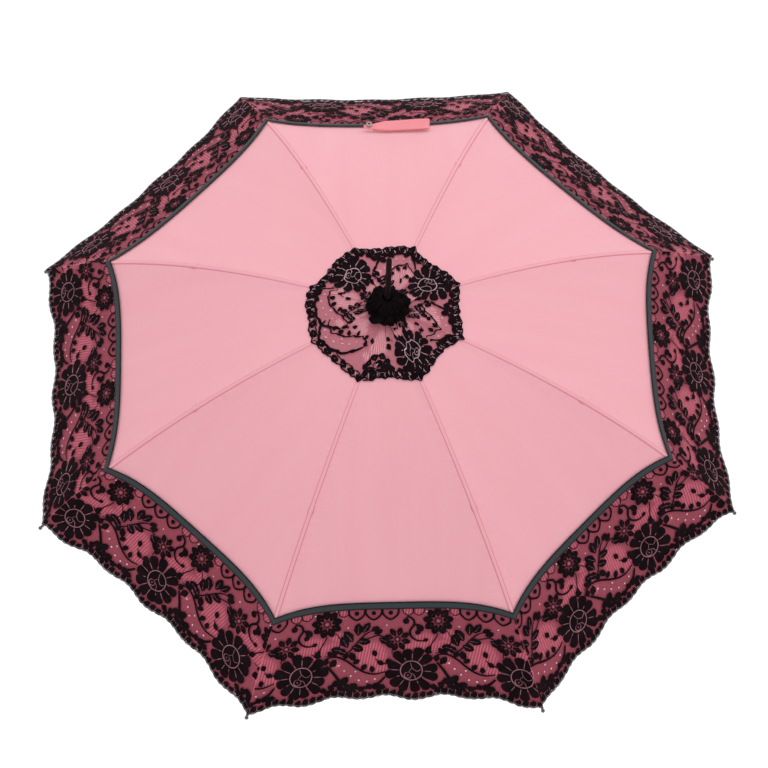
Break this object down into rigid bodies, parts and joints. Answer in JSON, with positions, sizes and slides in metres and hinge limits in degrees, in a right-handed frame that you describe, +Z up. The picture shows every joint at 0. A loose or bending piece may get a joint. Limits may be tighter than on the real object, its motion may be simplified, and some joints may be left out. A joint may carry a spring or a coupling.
{
  "type": "lace parasol",
  "caption": "Open stick parasol: pink satin canopy with a black floral lace border, rosette and long ferrule, on a folding rib frame with a crook handle.",
  "frame": {"origin": "centre of the grip on the shaft's axis", "axes": "+Z up along the shaft towards the ferrule, +X towards the handle's crook"},
  "size_m": [0.9024, 0.9024, 0.861],
  "materials": {
    "pink_satin": "smooth satin weave with soft gathers at the seams",
    "lace_border_cloth": "black floral lace over pink net",
    "black_lace": "black corded floral lace",
    "black_lacquer": "smooth gloss black",
    "dark_steel": "dark grey satin",
    "bright_steel": "bright drawn steel",
    "black_nylon": "matt moulded black",
    "strap_satin": "salmon pink satin, folded"
  },
  "bodies": {
    "stick": {"shaft_tube": "bright_steel", "ferrule": "black_lacquer", "crown": "black_nylon", "crown_wire": "bright_steel", "crown_pin": "bright_steel", "canopy_washer": "dark_steel", "lace_cap": "black_lace", "rosette": "black_lace", "stop_pin": "bright_steel", "catch_pins": "bright_steel", "handle": "black_lacquer", "handle_collar": "bright_steel", "crook_cap": "bright_steel"},
    "top_catch": {"top_catch": "bright_steel"},
    "bottom_catch": {"bottom_catch": "bright_steel"},
    "rib_inner_1": {"rib_inner_1": "dark_steel"},
    "rib_outer_1": {"rib_outer_1": "dark_steel"},
    "stretcher_1": {"stretcher_1": "dark_steel"},
    "gore_inner_1": {"gore_inner_1": "pink_satin"},
    "gore_outer_1": {"gore_outer_1": "lace_border_cloth"},
    "rib_inner_2": {"rib_inner_2": "dark_steel"},
    "rib_outer_2": {"rib_outer_2": "dark_steel"},
    "stretcher_2": {"stretcher_2": "dark_steel"},
    "gore_inner_2": {"gore_inner_2": "pink_satin"},
    "gore_outer_2": {"gore_outer_2": "lace_border_cloth"},
    "rib_inner_3": {"rib_inner_3": "dark_steel"},
    "rib_outer_3": {"rib_outer_3": "dark_steel"},
    "stretcher_3": {"stretcher_3": "dark_steel"},
    "gore_inner_3": {"gore_inner_3": "pink_satin"},
    "gore_outer_3": {"gore_outer_3": "lace_border_cloth"},
    "rib_inner_4": {"rib_inner_4": "dark_steel"},
    "rib_outer_4": {"rib_outer_4": "dark_steel"},
    "stretcher_4": {"stretcher_4": "dark_steel"},
    "gore_inner_4": {"gore_inner_4": "pink_satin"},
    "gore_outer_4": {"gore_outer_4": "lace_border_cloth"},
    "rib_inner_5": {"rib_inner_5": "dark_steel"},
    "rib_outer_5": {"rib_outer_5": "dark_steel"},
    "stretcher_5": {"stretcher_5": "dark_steel"},
    "gore_inner_5": {"gore_inner_5": "pink_satin"},
    "gore_outer_5": {"gore_outer_5": "lace_border_cloth"},
    "rib_inner_6": {"rib_inner_6": "dark_steel"},
    "rib_outer_6": {"rib_outer_6": "dark_steel"},
    "stretcher_6": {"stretcher_6": "dark_steel"},
    "gore_inner_6": {"gore_inner_6": "pink_satin"},
    "gore_outer_6": {"gore_outer_6": "lace_border_cloth"},
    "rib_inner_7": {"rib_inner_7": "dark_steel"},
    "rib_outer_7": {"rib_outer_7": "dark_steel"},
    "stretcher_7": {"stretcher_7": "dark_steel"},
    "gore_inner_7": {"gore_inner_7": "pink_satin"},
    "gore_outer_7": {"gore_outer_7": "lace_border_cloth"},
    "rib_inner_8": {"rib_inner_8": "dark_steel"},
    "rib_outer_8": {"rib_outer_8": "dark_steel"},
    "stretcher_8": {"stretcher_8": "dark_steel"},
    "gore_inner_8": {"gore_inner_8": "pink_satin"},
    "gore_outer_8": {"gore_outer_8": "lace_border_cloth"},
    "runner": {"runner": "black_nylon", "runner_wire": "bright_steel"},
    "tie_strap": {"strap": "strap_satin", "strap_snap": "bright_steel"}
  },
  "joints": [
    {"name": "canopy_fold", "type": "hinge", "parent": "stick", "child": "rib_inner_1", "pos_m": [0.01109, 0.00459, 0.639], "axis": [-0.3827, 0.9239, 0], "range_deg": [0, 71.62], "deforming": ["lace_cap"]},
    {"name": "rib_2_fold", "type": "hinge", "parent": "stick", "child": "rib_inner_2", "pos_m": [0.00459, 0.01109, 0.639], "axis": [-0.9239, 0.3827, 0], "range_deg": [0, 71.63]},
    {"name": "rib_3_fold", "type": "hinge", "parent": "stick", "child": "rib_inner_3", "pos_m": [-0.00459, 0.01109, 0.639], "axis": [-0.9239, -0.3827, 0], "range_deg": [0, 71.63]},
    {"name": "rib_4_fold", "type": "hinge", "parent": "stick", "child": "rib_inner_4", "pos_m": [-0.01109, 0.00459, 0.639], "axis": [-0.3827, -0.9239, 0], "range_deg": [0, 71.63]},
    {"name": "rib_5_fold", "type": "hinge", "parent": "stick", "child": "rib_inner_5", "pos_m": [-0.01109, -0.00459, 0.639], "axis": [0.3827, -0.9239, 0], "range_deg": [0, 71.63]},
    {"name": "rib_6_fold", "type": "hinge", "parent": "stick", "child": "rib_inner_6", "pos_m": [-0.00459, -0.01109, 0.639], "axis": [0.9239, -0.3827, 0], "range_deg": [0, 71.63]},
    {"name": "rib_7_fold", "type": "hinge", "parent": "stick", "child": "rib_inner_7", "pos_m": [0.00459, -0.01109, 0.639], "axis": [0.9239, 0.3827, 0], "range_deg": [0, 71.63]},
    {"name": "rib_8_fold", "type": "hinge", "parent": "stick", "child": "rib_inner_8", "pos_m": [0.01109, -0.00459, 0.639], "axis": [0.3827, 0.9239, 0], "range_deg": [0, 71.63]},
    {"name": "rib_1_flex", "type": "hinge", "parent": "rib_inner_1", "child": "rib_outer_1", "pos_m": [0.24163, 0.10009, 0.57131], "axis": [-0.3827, 0.9239, 0], "range_deg": [-16.27, 0]},
    {"name": "rib_2_flex", "type": "hinge", "parent": "rib_inner_2", "child": "rib_outer_2", "pos_m": [0.10009, 0.24163, 0.57131], "axis": [-0.9239, 0.3827, 0], "range_deg": [-16.27, 0]},
    {"name": "rib_3_flex", "type": "hinge", "parent": "rib_inner_3", "child": "rib_outer_3", "pos_m": [-0.10009, 0.24163, 0.57131], "axis": [-0.9239, -0.3827, 0], "range_deg": [-16.27, 0]},
    {"name": "rib_4_flex", "type": "hinge", "parent": "rib_inner_4", "child": "rib_outer_4", "pos_m": [-0.24163, 0.10009, 0.57131], "axis": [-0.3827, -0.9239, 0], "range_deg": [-16.27, 0]},
    {"name": "rib_5_flex", "type": "hinge", "parent": "rib_inner_5", "child": "rib_outer_5", "pos_m": [-0.24163, -0.10009, 0.57131], "axis": [0.3827, -0.9239, 0], "range_deg": [-16.27, 0]},
    {"name": "rib_6_flex", "type": "hinge", "parent": "rib_inner_6", "child": "rib_outer_6", "pos_m": [-0.10009, -0.24163, 0.57131], "axis": [0.9239, -0.3827, 0], "range_deg": [-16.27, 0]},
    {"name": "rib_7_flex", "type": "hinge", "parent": "rib_inner_7", "child": "rib_outer_7", "pos_m": [0.10009, -0.24163, 0.57131], "axis": [0.9239, 0.3827, 0], "range_deg": [-16.27, 0]},
    {"name": "rib_8_flex", "type": "hinge", "parent": "rib_inner_8", "child": "rib_outer_8", "pos_m": [0.24163, -0.10009, 0.57131], "axis": [0.3827, 0.9239, 0], "range_deg": [-16.27, 0]},
    {"name": "stretcher_1_swing", "type": "hinge", "parent": "rib_inner_1", "child": "stretcher_1", "pos_m": [0.24163, 0.10009, 0.57131], "axis": [-0.3827, 0.9239, 0], "range_deg": [-143.26, 0]},
    {"name": "stretcher_2_swing", "type": "hinge", "parent": "rib_inner_2", "child": "stretcher_2", "pos_m": [0.10009, 0.24163, 0.57131], "axis": [-0.9239, 0.3827, 0], "range_deg": [-143.26, 0]},
    {"name": "stretcher_3_swing", "type": "hinge", "parent": "rib_inner_3", "child": "stretcher_3", "pos_m": [-0.10009, 0.24163, 0.57131], "axis": [-0.9239, -0.3827, 0], "range_deg": [-143.26, 0]},
    {"name": "stretcher_4_swing", "type": "hinge", "parent": "rib_inner_4", "child": "stretcher_4", "pos_m": [-0.24163, 0.10009, 0.57131], "axis": [-0.3827, -0.9239, 0], "range_deg": [-143.26, 0]},
    {"name": "stretcher_5_swing", "type": "hinge", "parent": "rib_inner_5", "child": "stretcher_5", "pos_m": [-0.24163, -0.10009, 0.57131], "axis": [0.3827, -0.9239, 0], "range_deg": [-143.26, 0]},
    {"name": "stretcher_6_swing", "type": "hinge", "parent": "rib_inner_6", "child": "stretcher_6", "pos_m": [-0.10009, -0.24163, 0.57131], "axis": [0.9239, -0.3827, 0], "range_deg": [-143.26, 0]},
    {"name": "stretcher_7_swing", "type": "hinge", "parent": "rib_inner_7", "child": "stretcher_7", "pos_m": [0.10009, -0.24163, 0.57131], "axis": [0.9239, 0.3827, 0], "range_deg": [-143.26, 0]},
    {"name": "stretcher_8_swing", "type": "hinge", "parent": "rib_inner_8", "child": "stretcher_8", "pos_m": [0.24163, -0.10009, 0.57131], "axis": [0.3827, 0.9239, 0], "range_deg": [-143.26, 0]},
    {"name": "runner_level", "type": "hinge", "parent": "stretcher_1", "child": "runner", "pos_m": [0.01109, 0.00459, 0.50363], "axis": [-0.3827, 0.9239, 0], "range_deg": [0, 71.63]},
    {"name": "gore_1_fold", "type": "hinge", "parent": "stick", "child": "gore_inner_1", "pos_m": [0.00784, 0.00784, 0.639], "axis": [-0.7071, 0.7071, 0], "range_deg": [0, 69.97], "deforming": ["gore_inner_1"]},
    {"name": "gore_2_fold", "type": "hinge", "parent": "stick", "child": "gore_inner_2", "pos_m": [0, 0.01109, 0.639], "axis": [-1, 0, 0], "range_deg": [0, 69.97], "deforming": ["gore_inner_2"]},
    {"name": "gore_3_fold", "type": "hinge", "parent": "stick", "child": "gore_inner_3", "pos_m": [-0.00784, 0.00784, 0.639], "axis": [-0.7071, -0.7071, 0], "range_deg": [0, 69.97], "deforming": ["gore_inner_3"]},
    {"name": "gore_4_fold", "type": "hinge", "parent": "stick", "child": "gore_inner_4", "pos_m": [-0.01109, 0, 0.639], "axis": [0, -1, 0], "range_deg": [0, 69.97], "deforming": ["gore_inner_4"]},
    {"name": "gore_5_fold", "type": "hinge", "parent": "stick", "child": "gore_inner_5", "pos_m": [-0.00784, -0.00784, 0.639], "axis": [0.7071, -0.7071, 0], "range_deg": [0, 69.97], "deforming": ["gore_inner_5"]},
    {"name": "gore_6_fold", "type": "hinge", "parent": "stick", "child": "gore_inner_6", "pos_m": [0, -0.01109, 0.639], "axis": [1, 0, 0], "range_deg": [0, 69.97], "deforming": ["gore_inner_6"]},
    {"name": "gore_7_fold", "type": "hinge", "parent": "stick", "child": "gore_inner_7", "pos_m": [0.00784, -0.00784, 0.639], "axis": [0.7071, 0.7071, 0], "range_deg": [0, 69.97], "deforming": ["gore_inner_7"]},
    {"name": "gore_8_fold", "type": "hinge", "parent": "stick", "child": "gore_inner_8", "pos_m": [0.01109, 0, 0.639], "axis": [0, 1, 0], "range_deg": [0, 69.97], "deforming": ["gore_inner_8"]},
    {"name": "gore_1_bend", "type": "hinge", "parent": "gore_inner_1", "child": "gore_outer_1", "pos_m": [0.17176, 0.17176, 0.5742], "axis": [-0.7071, 0.7071, 0], "range_deg": [-16.78, 0], "deforming": ["gore_outer_1"]},
    {"name": "gore_2_bend", "type": "hinge", "parent": "gore_inner_2", "child": "gore_outer_2", "pos_m": [0, 0.24291, 0.5742], "axis": [-1, 0, 0], "range_deg": [-16.78, 0], "deforming": ["gore_outer_2"]},
    {"name": "gore_3_bend", "type": "hinge", "parent": "gore_inner_3", "child": "gore_outer_3", "pos_m": [-0.17176, 0.17176, 0.5742], "axis": [-0.7071, -0.7071, 0], "range_deg": [-16.78, 0], "deforming": ["gore_outer_3"]},
    {"name": "gore_4_bend", "type": "hinge", "parent": "gore_inner_4", "child": "gore_outer_4", "pos_m": [-0.24291, 0, 0.5742], "axis": [0, -1, 0], "range_deg": [-16.78, 0], "deforming": ["gore_outer_4"]},
    {"name": "gore_5_bend", "type": "hinge", "parent": "gore_inner_5", "child": "gore_outer_5", "pos_m": [-0.17176, -0.17176, 0.5742], "axis": [0.7071, -0.7071, 0], "range_deg": [-16.78, 0], "deforming": ["gore_outer_5"]},
    {"name": "gore_6_bend", "type": "hinge", "parent": "gore_inner_6", "child": "gore_outer_6", "pos_m": [0, -0.24291, 0.5742], "axis": [1, 0, 0], "range_deg": [-16.78, 0], "deforming": ["gore_outer_6"]},
    {"name": "gore_7_bend", "type": "hinge", "parent": "gore_inner_7", "child": "gore_outer_7", "pos_m": [0.17176, -0.17176, 0.5742], "axis": [0.7071, 0.7071, 0], "range_deg": [-16.78, 0], "deforming": ["gore_outer_7"]},
    {"name": "gore_8_bend", "type": "hinge", "parent": "gore_inner_8", "child": "gore_outer_8", "pos_m": [0.24291, 0, 0.5742], "axis": [0, 1, 0], "range_deg": [-16.78, 0], "deforming": ["gore_outer_8"]},
    {"name": "top_catch_press", "type": "hinge", "parent": "stick", "child": "top_catch", "pos_m": [0.0015, 0, 0.44333], "axis": [0, -1, 0], "range_deg": [0, 9], "stiffness_Nm_per_rad": 0.05, "deforming": ["top_catch"]},
    {"name": "bottom_catch_press", "type": "hinge", "parent": "stick", "child": "bottom_catch", "pos_m": [0.0015, 0, 0.111], "axis": [0, 1, 0], "range_deg": [0, 9], "stiffness_Nm_per_rad": 0.05, "deforming": ["bottom_catch"]},
    {"name": "strap_swing", "type": "hinge", "parent": "gore_outer_2", "child": "tie_strap", "pos_m": [0.06, 0.33354, 0.52262], "axis": [0, 0.5666, 0.824], "range_deg": [-70, 0]}
  ],
  "couplings": [
    {"joint": "rib_2_fold", "follows": "canopy_fold", "ratio": 1},
    {"joint": "rib_3_fold", "follows": "canopy_fold", "ratio": 1},
    {"joint": "rib_4_fold", "follows": "canopy_fold", "ratio": 1},
    {"joint": "rib_5_fold", "follows": "canopy_fold", "ratio": 1},
    {"joint": "rib_6_fold", "follows": "canopy_fold", "ratio": 1},
    {"joint": "rib_7_fold", "follows": "canopy_fold", "ratio": 1},
    {"joint": "rib_8_fold", "follows": "canopy_fold", "ratio": 1},
    {"joint": "rib_1_flex", "follows": "canopy_fold", "ratio": -0.22701},
    {"joint": "rib_2_flex", "follows": "canopy_fold", "ratio": -0.22701},
    {"joint": "rib_3_flex", "follows": "canopy_fold", "ratio": -0.22701},
    {"joint": "rib_4_flex", "follows": "canopy_fold", "ratio": -0.22701},
    {"joint": "rib_5_flex", "follows": "canopy_fold", "ratio": -0.22701},
    {"joint": "rib_6_flex", "follows": "canopy_fold", "ratio": -0.22701},
    {"joint": "rib_7_flex", "follows": "canopy_fold", "ratio": -0.22701},
    {"joint": "rib_8_flex", "follows": "canopy_fold", "ratio": -0.22701},
    {"joint": "stretcher_1_swing", "follows": "canopy_fold", "ratio": -2},
    {"joint": "stretcher_2_swing", "follows": "canopy_fold", "ratio": -2},
    {"joint": "stretcher_3_swing", "follows": "canopy_fold", "ratio": -2},
    {"joint": "stretcher_4_swing", "follows": "canopy_fold", "ratio": -2},
    {"joint": "stretcher_5_swing", "follows": "canopy_fold", "ratio": -2},
    {"joint": "stretcher_6_swing", "follows": "canopy_fold", "ratio": -2},
    {"joint": "stretcher_7_swing", "follows": "canopy_fold", "ratio": -2},
    {"joint": "stretcher_8_swing", "follows": "canopy_fold", "ratio": -2},
    {"joint": "runner_level", "follows": "canopy_fold", "ratio": 1},
    {"joint": "gore_1_fold", "follows": "canopy_fold", "ratio": 0.97682},
    {"joint": "gore_2_fold", "follows": "canopy_fold", "ratio": 0.97682},
    {"joint": "gore_3_fold", "follows": "canopy_fold", "ratio": 0.97682},
    {"joint": "gore_4_fold", "follows": "canopy_fold", "ratio": 0.97682},
    {"joint": "gore_5_fold", "follows": "canopy_fold", "ratio": 0.97682},
    {"joint": "gore_6_fold", "follows": "canopy_fold", "ratio": 0.97682},
    {"joint": "gore_7_fold", "follows": "canopy_fold", "ratio": 0.97682},
    {"joint": "gore_8_fold", "follows": "canopy_fold", "ratio": 0.97682},
    {"joint": "gore_1_bend", "follows": "canopy_fold", "ratio": -0.23414},
    {"joint": "gore_2_bend", "follows": "canopy_fold", "ratio": -0.23414},
    {"joint": "gore_3_bend", "follows": "canopy_fold", "ratio": -0.23414},
    {"joint": "gore_4_bend", "follows": "canopy_fold", "ratio": -0.23414},
    {"joint": "gore_5_bend", "follows": "canopy_fold", "ratio": -0.23414},
    {"joint": "gore_6_bend", "follows": "canopy_fold", "ratio": -0.23414},
    {"joint": "gore_7_bend", "follows": "canopy_fold", "ratio": -0.23414},
    {"joint": "gore_8_bend", "follows": "canopy_fold", "ratio": -0.23414}
  ]
}
